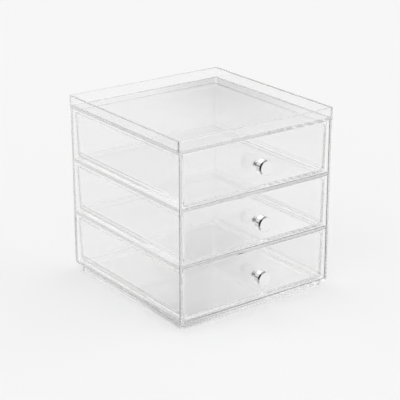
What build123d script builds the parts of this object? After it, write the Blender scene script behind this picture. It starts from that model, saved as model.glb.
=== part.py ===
from build123d import *
import math
import os

# Clear plastic chest with three drawers and a raised lip round its top.
# Millimetres. +Z is up and the drawers open towards -Y. The origin lies on the surface that the
# chest stands on, midway between its sides and midway between its front and its back.

# Case: one moulded shell with two sides, a back and a floor
case_width = 166.0
case_depth = 170.0
side_wall = 3.0
back_wall = 2.4
floor_wall = 3.4
case_lower_radius = 4.0  # outside rounding where the floor turns up into the sides
case_inner_radius = 2.0
case_edge_chamfer = 0.5
foot_height = 5.2
foot_inset = 4.2
foot_wall = 3.0
foot_corner_radius = 1.6
foot_inner_corner_radius = 1.0

# Shelves, bonded between the sides, one above each of the two lower bays
bond_gap = 0.1  # the line of cement in a bonded joint
bay_height = 48.2
shelf_thickness = 3.2
shelf_setback = 0.6
shelf_edge_radius = 0.8

# Top tray: a plate bonded on the case's walls, with a lip that overhangs them a little
plate_thickness = 2.8
lip_height = 9.0  # above the plate
lip_wall = 2.6
lip_overhang = 0.8
lip_lap = 0.4  # how far the overhanging lip reaches down past the plate's top
lip_corner_radius = 2.4
lip_foot_radius = 0.8
lip_top_chamfer = 0.4

# Drawers: open boxes, drafted for the mould, whose front stands a little above the other walls
drawer_front_setback = 1.9
drawer_side_gap = 1.2
drawer_back_gap = 0.6
drawer_rest_gap = 0.3
drawer_top_gap = 0.5
drawer_draft = 1.5  # degrees
drawer_front_wall = 2.5
drawer_side_wall = 2.2
drawer_floor_wall = 2.4
drawer_rim_drop = 3.8  # from the front's top down to the top of the other three walls
drawer_outer_radius = 3.8
drawer_inner_radius = 5.0
drawer_back_radius = 1.6
drawer_inner_front_radius = 0.8
drawer_front_edge_chamfer = 0.6
drawer_front_corner_radius = 1.0

# Knobs: turned, each held by one screw from inside its drawer
knob_above_drawer_bottom = 23.2
knob_head_radius = 7.2
knob_head_length = 6.1
knob_head_chamfer = 1.15
knob_shoulder_radius = 6.4
knob_shoulder_length = 0.9
knob_neck_radius = 2.3
knob_neck_length = 5.4
knob_collar_radius = 2.9
knob_collar_length = 0.9
knob_bore_radius = 1.3
knob_bore_depth = 8.0
screw_shank_radius = 1.25
screw_grip = 6.5  # how far the shank reaches into the knob
screw_hole_radius = 1.4
screw_head_radius = 2.5
screw_head_height = 1.7
screw_head_chamfer = 0.5
screw_recess_width = 0.7
screw_recess_length = 2.8
screw_recess_depth = 0.9

# Places that follow from the sizes above
inner_width = case_width - 2 * side_wall
front_y = -case_depth / 2
back_y = case_depth / 2
inner_back_y = back_y - back_wall
floor_top = foot_height + floor_wall
storey = bay_height + shelf_thickness
bays = ["bottom", "middle", "top"]
bay_floors = [floor_top + level * storey for level in range(len(bays))]
case_top = bay_floors[-1] + bay_height
plate_bottom = case_top + bond_gap
plate_top = plate_bottom + plate_thickness
lip_top = plate_top + lip_height
drawer_height = bay_height - drawer_rest_gap - drawer_top_gap
drawer_front_y = front_y + drawer_front_setback
drawer_back_y = inner_back_y - drawer_back_gap
drawer_top_width = inner_width - 2 * drawer_side_gap
draft_run = math.tan(math.radians(drawer_draft))  # inward run for each millimetre of height
clear = 10.0  # how far a cutting solid stands past what it cuts


def front_profile(top_half, bottom, top, draft, lower_radius, upper_radius=0.0):
    """The outline of a box seen from the front, as a sketch in the XZ plane through the origin."""
    low_half = top_half - (top - bottom) * draft
    outline = Polyline(
        (top_half, top), (-top_half, top), (-low_half, bottom), (low_half, bottom), close=True
    )
    sketch = make_face(outline)
    lower = sketch.vertices().group_by(Axis.Y)[0]
    sketch = fillet(lower, lower_radius)
    if upper_radius:
        sketch = fillet(sketch.vertices().group_by(Axis.Y)[-1], upper_radius)
    return sketch


def prism(sketch, start_y, end_y):
    """Runs a front profile from start_y back to end_y."""
    plane = Plane(origin=(0, start_y, 0), x_dir=(1, 0, 0), z_dir=(0, -1, 0))
    return extrude(plane * sketch, amount=start_y - end_y)


def edges_on(solid, axis, last):
    """The edges round the flat end face of a solid that lies first or last along an axis."""
    return solid.faces().sort_by(axis)[-1 if last else 0].edges()


def foot_ring():
    """The low wall under the floor, which sits inside the lip of a chest below it."""
    width = case_width - 2 * foot_inset
    depth = case_depth - 2 * foot_inset
    outer = RectangleRounded(width, depth, foot_corner_radius)
    inner = RectangleRounded(
        width - 2 * foot_wall, depth - 2 * foot_wall, foot_inner_corner_radius
    )
    return extrude(outer - inner, foot_height + floor_wall / 2)


def case_shell():
    """Sides, back and floor in one piece, open to the front and the top, on its foot ring."""
    outer = prism(
        front_profile(case_width / 2, foot_height, case_top, 0, case_lower_radius),
        front_y,
        back_y,
    )
    all_but_top = edges_on(outer, Axis.Y, last=True).sort_by(Axis.Z)[:-1]
    outer = chamfer(all_but_top, case_edge_chamfer)
    hollow = prism(
        front_profile(inner_width / 2, floor_top, case_top + clear, 0, case_inner_radius),
        front_y - clear,
        inner_back_y,
    )
    shell = outer - hollow
    all_but_ends = edges_on(shell, Axis.Y, last=False).sort_by(Axis.Z)[:-2]
    return chamfer(all_but_ends, case_edge_chamfer) + foot_ring()


def shelf(level):
    """The panel under the bay at this level. Its ends are bonded to the sides and the back."""
    width = inner_width - 2 * bond_gap
    back = inner_back_y - bond_gap
    depth = back - front_y - shelf_setback
    centre = Pos(0, back - depth / 2, bay_floors[level] - shelf_thickness / 2)
    panel = centre * Box(width, depth, shelf_thickness)
    return fillet(panel.faces().sort_by(Axis.Y)[0].edges().filter_by(Axis.X), shelf_edge_radius)


def top_tray():
    """The chest's top plate with the lip round it."""
    plate = Pos(0, 0, plate_bottom) * extrude(Rectangle(case_width, case_depth), plate_thickness)
    width = case_width + 2 * lip_overhang
    depth = case_depth + 2 * lip_overhang
    outer = RectangleRounded(width, depth, lip_corner_radius)
    inner = Rectangle(width - 2 * lip_wall, depth - 2 * lip_wall)
    lip = Pos(0, 0, plate_top - lip_lap) * extrude(outer - inner, lip_height + lip_lap)
    tray = plate + lip
    recess_floor = tray.faces().filter_by(Axis.Z).sort_by(Axis.Z)[-2]
    tray = fillet(recess_floor.edges(), lip_foot_radius)
    return chamfer(edges_on(tray, Axis.Z, last=True), lip_top_chamfer)


def drawer_block(half_width, bottom, top, start_y, end_y, lower_radius, upper_radius=0.0):
    """A drafted block with rounded lower edges, whose back leans in towards its bottom."""
    sketch = front_profile(half_width, bottom, top, draft_run, lower_radius, upper_radius)
    block = prism(sketch, start_y, end_y + clear)
    lean = Plane(origin=(0, end_y, top), z_dir=(0, 1, -draft_run))
    return split(block, bisect_by=lean, keep=Keep.BOTTOM)


def knob_axis(level):
    """Where the knob's axis meets the drawer's front face."""
    height = bay_floors[level] + drawer_rest_gap + knob_above_drawer_bottom
    return Pos(0, drawer_front_y, height)


def drawer(level):
    """An open box. The front stands above the sides and back, and takes the knob's screw."""
    bottom = bay_floors[level] + drawer_rest_gap
    top = bottom + drawer_height
    rim = top - drawer_rim_drop
    half_width = drawer_top_width / 2
    outer = drawer_block(
        half_width, bottom, top, drawer_front_y, drawer_back_y,
        drawer_outer_radius, drawer_front_corner_radius,
    )
    all_but_top_and_corners = edges_on(outer, Axis.Y, last=True).sort_by(Axis.Z)[:-3]
    outer = fillet(all_but_top_and_corners, drawer_back_radius)
    outer = chamfer(edges_on(outer, Axis.Y, last=False), drawer_front_edge_chamfer)
    hollow = drawer_block(
        half_width - drawer_side_wall + clear * draft_run,
        bottom + drawer_floor_wall,
        top + clear,
        drawer_front_y + drawer_front_wall,
        drawer_back_y - drawer_side_wall + clear * draft_run,
        drawer_inner_radius,
    )
    all_but_top = edges_on(hollow, Axis.Y, last=True).sort_by(Axis.Z)[:-1]
    hollow = fillet(all_but_top, drawer_back_radius)
    all_but_top = edges_on(hollow, Axis.Y, last=False).sort_by(Axis.Z)[:-1]
    hollow = fillet(all_but_top, drawer_inner_front_radius)
    depth = drawer_back_y - drawer_front_y
    above_rim = Pos(0, drawer_front_y + drawer_front_wall + depth / 2, rim + clear / 2) * Box(
        case_width, depth, clear
    )
    hole = knob_axis(level) * Rot(90, 0, 0) * Cylinder(screw_hole_radius, clear)
    return outer - hollow - above_rim - hole


def turned_edges(solid):
    """The full circles round a turned solid, from its front to its back."""
    circles = solid.edges().filter_by(GeomType.CIRCLE)
    return circles.filter_by(lambda edge: edge.is_closed).group_by(Axis.Y)


def knob(level):
    """Collar, neck, shoulder and a wide head with a flat face, bored for its screw."""
    neck_end = knob_collar_length + knob_neck_length
    head_start = neck_end + knob_shoulder_length
    head_end = head_start + knob_head_length
    outline = Polyline(
        (knob_bore_radius, 0),
        (knob_collar_radius, 0),
        (knob_collar_radius, -knob_collar_length),
        (knob_neck_radius, -knob_collar_length),
        (knob_neck_radius, -neck_end),
        (knob_shoulder_radius, -neck_end),
        (knob_head_radius, -head_start),
        (knob_head_radius, -head_end),
        (0, -head_end),
        (0, -knob_bore_depth),
        (knob_bore_radius, -knob_bore_depth),
        close=True,
    )
    body = revolve(make_face(outline), Axis.Y)
    face_rim = turned_edges(body)[0]
    return knob_axis(level) * chamfer(face_rim, knob_head_chamfer)


def screw(level):
    """Pan-head screw with a cross recess, its head against the inside of the drawer's front."""
    head_back = drawer_front_wall + screw_head_height
    outline = Polyline(
        (0, -screw_grip),
        (screw_shank_radius, -screw_grip),
        (screw_shank_radius, drawer_front_wall),
        (screw_head_radius, drawer_front_wall),
        (screw_head_radius, head_back),
        (0, head_back),
        close=True,
    )
    body = revolve(make_face(outline), Axis.Y)
    head_rim = turned_edges(body)[-1]
    body = chamfer(head_rim, screw_head_chamfer)
    depth = 2 * screw_recess_depth
    slot = Box(screw_recess_length, depth, screw_recess_width)
    cross = Box(screw_recess_width, depth, screw_recess_length)
    return knob_axis(level) * (body - Pos(0, head_back, 0) * (slot + cross))


def write(name, solid):
    """Saves one piece as parts/NAME.step."""
    export_step(solid, os.path.join("parts", name + ".step"))


os.makedirs("parts", exist_ok=True)
write("case_shell", case_shell())
write("shelf_lower", shelf(1))
write("shelf_upper", shelf(2))
write("top_tray", top_tray())
for level, bay in enumerate(bays):
    write("drawer_" + bay, drawer(level))
    write("knob_" + bay, knob(level))
    write("screw_" + bay, screw(level))
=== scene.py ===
"""Looks of the clear chest with three drawers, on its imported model. Metres, +Z up, front towards -Y."""
import math

import bpy
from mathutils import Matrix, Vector

# Camera: it looks down at the chest from in front of it and from its left
camera_azimuth = math.radians(-36.37)
camera_elevation = math.radians(20.45)
camera_distance = 1.238
camera_target = Vector((0.0, -0.001, 0.0775))
camera_lens = 121.7  # millimetres
camera_reach = (0.05, 60.0)  # nearest and farthest distance that it shows

# Light levels, as linear brightness
backdrop_level = 0.92  # what the camera sees round the chest
plain_level = 1.0  # what lights the floor
sky_level = 0.83  # what gloss and bent light show above the horizon
horizon = (0.03, 0.12)  # Z of the directions between which the backdrop turns into the sky

# Places in the sky that differ: direction, angle where each ends, angle where it is full, its level
# as gloss shows it and as bent light shows it
sky_places = (
    (Vector((0.15, 0.55, 0.80)), 38.0, 22.0, 1.30, 1.62),  # softbox above the back
    (Vector((-0.50, -0.68, 0.53)), 56.0, 34.0, 0.02, 0.65),  # dark room behind the camera
    (Vector((0.30, -0.60, 0.75)), 40.0, 20.0, 0.35, 0.92),  # dim ceiling above the front
    (Vector((-0.66, 0.75, 0.06)), 15.0, 10.0, 0.06, 0.10),  # dark flag at the back left
    (Vector((0.598, 0.770, 0.222)), 5.0, 1.5, 0.40, 0.28),  # dim patches of the wall at the back
    (Vector((0.562, 0.716, 0.413)), 3.8, 1.2, 0.60, 0.42),
    (Vector((0.620, 0.685, 0.383)), 4.6, 1.5, 1.08, 1.08),  # lamp's glow beside them
)

# Floor, whose tones show only in gloss and, in part, through bent light. Each band is the two places
# between which a tone comes in or fades.
floor_half_width = 30.0
floor_drop = 0.0001  # below the chest's foot, so that the two faces don't coincide
floor_whiteness = 0.93
leftward = (-0.87, -0.5)  # direction along the floor in which the left tones come in
left_tone = 0.42
left_tone_band = (0.05, 0.1)
far_left_tone = 0.04
far_left_tone_band = (0.18, 0.32)
front_band = (0.1, -0.1)  # along Y, for both of the left tones
back_left_tone = 0.80
back_left_band_x = (-0.08, -0.16)
back_left_band_y = (0.06, 0.2)
bent_loss = (0.55, 1.0)  # shares of the tones that bent light leaves out, near the chest and far from it
bent_loss_band = (0.6, 0.75)

# Clear plastic. Sizes of noise are in metres, and so are heights.
plastic_colour = (0.992, 0.992, 0.992)
plastic_ior = 1.55
plastic_roughness = (0.03, 0.06)  # in its clear places and in its hazy ones
haze_patch_size = 0.03
haze_band = (0.45, 0.7)
flow_wave_size = 0.045
flow_wave_height = 0.00003
case_absorption = 1.15
drawer_absorption = 0.6

# Chrome and steel
chrome_colour = (0.92, 0.92, 0.92)
chrome_roughness = (0.02, 0.09)  # where it is clean and where it is smudged
smudge_size = 0.004
smudge_band = (0.45, 0.75)
wiping_mark_size = 0.0012
wiping_mark_stretch = (1.0, 1.0, 9.0)
wiping_mark_height = 0.000004
steel_colour = (0.62, 0.61, 0.59)
steel_roughness = (0.2, 0.38)
steel_grain_size = 0.0006
steel_grain_band = (0.3, 0.7)
steel_grain_height = 0.00002

# A ray crosses many clear walls before it leaves the chest
ray_bounces = 256


def camera_direction():
    """Unit vector from the chest towards the camera."""
    return Vector((
        math.sin(camera_azimuth) * math.cos(camera_elevation),
        -math.cos(camera_azimuth) * math.cos(camera_elevation),
        math.sin(camera_elevation),
    ))


def make_camera():
    data = bpy.data.cameras.new("camera")
    data.lens = camera_lens
    data.clip_start, data.clip_end = camera_reach
    camera = bpy.data.objects.new("camera", data)
    camera.rotation_mode = "QUATERNION"
    camera.location = camera_target + camera_distance * camera_direction()
    camera.rotation_quaternion = (-camera_direction()).to_track_quat("-Z", "Y")
    bpy.context.scene.collection.objects.link(camera)
    bpy.context.scene.camera = camera


class Shader:
    """A node tree being filled, with short ways to add its nodes and to link them."""

    def __init__(self, owner):
        owner.use_nodes = True
        self.tree = owner.node_tree
        self.tree.nodes.clear()

    def node(self, kind, **values):
        made = self.tree.nodes.new("ShaderNode" + kind)
        for name, value in values.items():
            setattr(made, name, value)
        return made

    def put(self, value, socket):
        """Links an output to a socket, or sets a plain value on it."""
        if isinstance(value, bpy.types.NodeSocket):
            self.tree.links.new(value, socket)
        else:
            socket.default_value = value

    def calculate(self, operation, first, second):
        """One calculation on two numbers or outputs."""
        made = self.node("Math", operation=operation)
        self.put(first, made.inputs[0])
        self.put(second, made.inputs[1])
        return made.outputs[0]

    def product(self, first, second):
        return self.calculate("MULTIPLY", first, second)

    def ramp(self, value, band, levels=(0.0, 1.0)):
        """A smooth change from the first level to the second while value crosses the band."""
        made = self.node("MapRange", interpolation_type="SMOOTHSTEP")
        self.put(value, made.inputs["Value"])
        names = ("From Min", "From Max", "To Min", "To Max")
        for name, given in zip(names, (*band, *levels)):
            self.put(given, made.inputs[name])
        return made.outputs["Result"]

    def mix(self, factor, first, second):
        made = self.node("Mix", data_type="FLOAT")
        self.put(factor, made.inputs[0])
        self.put(first, made.inputs[2])
        self.put(second, made.inputs[3])
        return made.outputs[0]

    def noise(self, size, detail, stretch=(1.0, 1.0, 1.0)):
        """Noise in the object's own space, in patches of about size, or less along a stretched axis."""
        place = self.node("Mapping")
        self.put(self.node("TexCoord").outputs["Object"], place.inputs["Vector"])
        place.inputs["Scale"].default_value = stretch
        made = self.node("TexNoise")
        self.put(place.outputs["Vector"], made.inputs["Vector"])
        made.inputs["Scale"].default_value = 1.0 / size
        made.inputs["Detail"].default_value = detail
        return made.outputs["Fac"]

    def bump(self, pattern, height):
        """A surface normal, as if the surface rose to height where the pattern is 1."""
        made = self.node("Bump")
        made.inputs["Distance"].default_value = height
        self.put(pattern, made.inputs["Height"])
        return made.outputs["Normal"]


def sky_brightness(shader, direction, ray):
    """The studio's brightness in a direction, as gloss and bent light show it."""
    parts = shader.node("SeparateXYZ")
    shader.put(direction, parts.inputs[0])
    sky = shader.ramp(parts.outputs["Z"], horizon, (backdrop_level, sky_level))
    for axis, end_angle, full_angle, gloss_level, bent_level in sky_places:
        toward = shader.node("VectorMath", operation="DOT_PRODUCT")
        shader.put(direction, toward.inputs[0])
        toward.inputs[1].default_value = axis.normalized()
        band = [math.cos(math.radians(angle)) for angle in (end_angle, full_angle)]
        level = shader.mix(ray.outputs["Is Transmission Ray"], gloss_level, bent_level)
        sky = shader.mix(shader.ramp(toward.outputs["Value"], band), sky, level)
    return sky


def make_world():
    """A white studio whose darker places show only in gloss and through bent light."""
    world = bpy.data.worlds.new("studio")
    bpy.context.scene.world = world
    shader = Shader(world)
    ray = shader.node("LightPath")
    sky = sky_brightness(shader, shader.node("TexCoord").outputs["Generated"], ray)
    shiny = shader.calculate("MAXIMUM", ray.outputs["Is Glossy Ray"], ray.outputs["Is Transmission Ray"])
    seen = shader.mix(shiny, plain_level, sky)
    seen = shader.mix(ray.outputs["Is Camera Ray"], seen, backdrop_level)
    background = shader.node("Background")
    background.inputs["Color"].default_value = (1.0, 1.0, 1.0, 1.0)
    shader.put(seen, background.inputs["Strength"])
    output = shader.node("OutputWorld")
    shader.put(background.outputs[0], output.inputs["Surface"])


def floor_brightness(shader):
    """White, and in gloss darker towards the left and at the back left."""
    place = shader.node("SeparateXYZ")
    shader.put(shader.node("TexCoord").outputs["Object"], place.inputs[0])
    x = place.outputs["X"]
    y = place.outputs["Y"]
    toward_left = shader.calculate("ADD", shader.product(x, leftward[0]), shader.product(y, leftward[1]))
    tone = shader.ramp(toward_left, left_tone_band, (floor_whiteness, left_tone))
    tone = shader.mix(shader.ramp(toward_left, far_left_tone_band), tone, far_left_tone)
    at_back_left = shader.product(shader.ramp(y, back_left_band_y), shader.ramp(x, back_left_band_x))

    # A bent ray counts as a glossy one too, so its loss is taken off
    ray = shader.node("LightPath")
    loss = shader.ramp(toward_left, bent_loss_band, bent_loss)
    loss = shader.product(ray.outputs["Is Transmission Ray"], loss)
    shown = shader.calculate("SUBTRACT", ray.outputs["Is Glossy Ray"], loss)

    level = shader.mix(shader.product(shader.ramp(y, front_band), shown), floor_whiteness, tone)
    return shader.mix(shader.product(at_back_left, shown), level, back_left_tone)


def floor_material():
    material = bpy.data.materials.new("floor")
    shader = Shader(material)
    brightness = floor_brightness(shader)
    colour = shader.node("CombineColor")
    for channel in colour.inputs:
        shader.put(brightness, channel)
    surface = shader.node("BsdfDiffuse")
    shader.put(colour.outputs[0], surface.inputs["Color"])
    output = shader.node("OutputMaterial")
    shader.put(surface.outputs[0], output.inputs["Surface"])
    return material


def make_floor():
    size = floor_half_width
    corners = [(x, y, -floor_drop) for x, y in ((-size, -size), (size, -size), (size, size), (-size, size))]
    mesh = bpy.data.meshes.new("floor")
    mesh.from_pydata(corners, [], [(0, 1, 2, 3)])
    mesh.materials.append(floor_material())
    floor = bpy.data.objects.new("floor", mesh)
    bpy.context.scene.collection.objects.link(floor)


def material_with(name, colour, build, absorption=0.0):
    """A material on one principled surface, which build sets up further.

    Absorption is the share of the light lost inside it, per metre for a short way.
    """
    material = bpy.data.materials.new(name)
    shader = Shader(material)
    surface = shader.node("BsdfPrincipled")
    surface.inputs["Base Color"].default_value = (*colour, 1.0)
    build(shader, surface.inputs)
    output = shader.node("OutputMaterial")
    shader.put(surface.outputs[0], output.inputs["Surface"])
    if absorption:
        inside = shader.node("VolumeAbsorption")
        inside.inputs["Color"].default_value = (0.0, 0.0, 0.0, 1.0)
        inside.inputs["Density"].default_value = absorption
        shader.put(inside.outputs[0], output.inputs["Volume"])
    return material


def clear_plastic(shader, inputs):
    """Clear moulded plastic with faint flow waves and a slight haze, twice as strong in patches."""
    inputs["Transmission Weight"].default_value = 1.0
    inputs["IOR"].default_value = plastic_ior
    haze = shader.noise(haze_patch_size, detail=4.0)
    shader.put(shader.ramp(haze, haze_band, plastic_roughness), inputs["Roughness"])
    waves = shader.noise(flow_wave_size, detail=1.0)
    shader.put(shader.bump(waves, flow_wave_height), inputs["Normal"])


def chrome(shader, inputs):
    """Polished chrome with faint smudges and very fine level marks of wiping."""
    inputs["Metallic"].default_value = 1.0
    smudges = shader.noise(smudge_size, detail=3.0)
    shader.put(shader.ramp(smudges, smudge_band, chrome_roughness), inputs["Roughness"])
    marks = shader.noise(wiping_mark_size, detail=4.0, stretch=wiping_mark_stretch)
    shader.put(shader.bump(marks, wiping_mark_height), inputs["Normal"])


def steel(shader, inputs):
    """Plated steel with a fine grain."""
    inputs["Metallic"].default_value = 1.0
    grain = shader.noise(steel_grain_size, detail=3.0)
    shader.put(shader.ramp(grain, steel_grain_band, steel_roughness), inputs["Roughness"])
    shader.put(shader.bump(grain, steel_grain_height), inputs["Normal"])


def dress(nodes, start, material):
    """Gives the material to each node whose name begins with start."""
    for name, node in nodes.items():
        if name.startswith(start):
            node.data.materials.clear()
            node.data.materials.append(material)


def dress_chest(nodes):
    case_plastic = material_with("clear_case_plastic", plastic_colour, clear_plastic, case_absorption)
    for start in ("case", "shelf", "top"):
        dress(nodes, start, case_plastic)
    drawer_plastic = material_with("clear_drawer_plastic", plastic_colour, clear_plastic, drawer_absorption)
    dress(nodes, "drawer", drawer_plastic)
    dress(nodes, "knob", material_with("polished_chrome", chrome_colour, chrome))
    dress(nodes, "screw", material_with("plated_steel", steel_colour, steel))


def set_up_light_paths():
    """Follows light through all the clear walls, without blurring what they show."""
    cycles = bpy.context.scene.cycles
    cycles.max_bounces = ray_bounces
    cycles.transmission_bounces = ray_bounces
    cycles.glossy_bounces = ray_bounces
    cycles.blur_glossy = 0.0


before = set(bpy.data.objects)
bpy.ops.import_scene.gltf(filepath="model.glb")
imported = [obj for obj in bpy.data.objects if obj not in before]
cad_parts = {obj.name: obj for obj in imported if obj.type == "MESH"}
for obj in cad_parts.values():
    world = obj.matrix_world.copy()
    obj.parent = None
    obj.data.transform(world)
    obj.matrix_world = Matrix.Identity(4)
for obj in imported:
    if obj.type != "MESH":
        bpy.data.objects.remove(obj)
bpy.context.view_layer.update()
dress_chest(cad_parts)
make_camera()
make_world()
make_floor()
set_up_light_paths()
bpy.context.scene.view_settings.view_transform = "Standard"
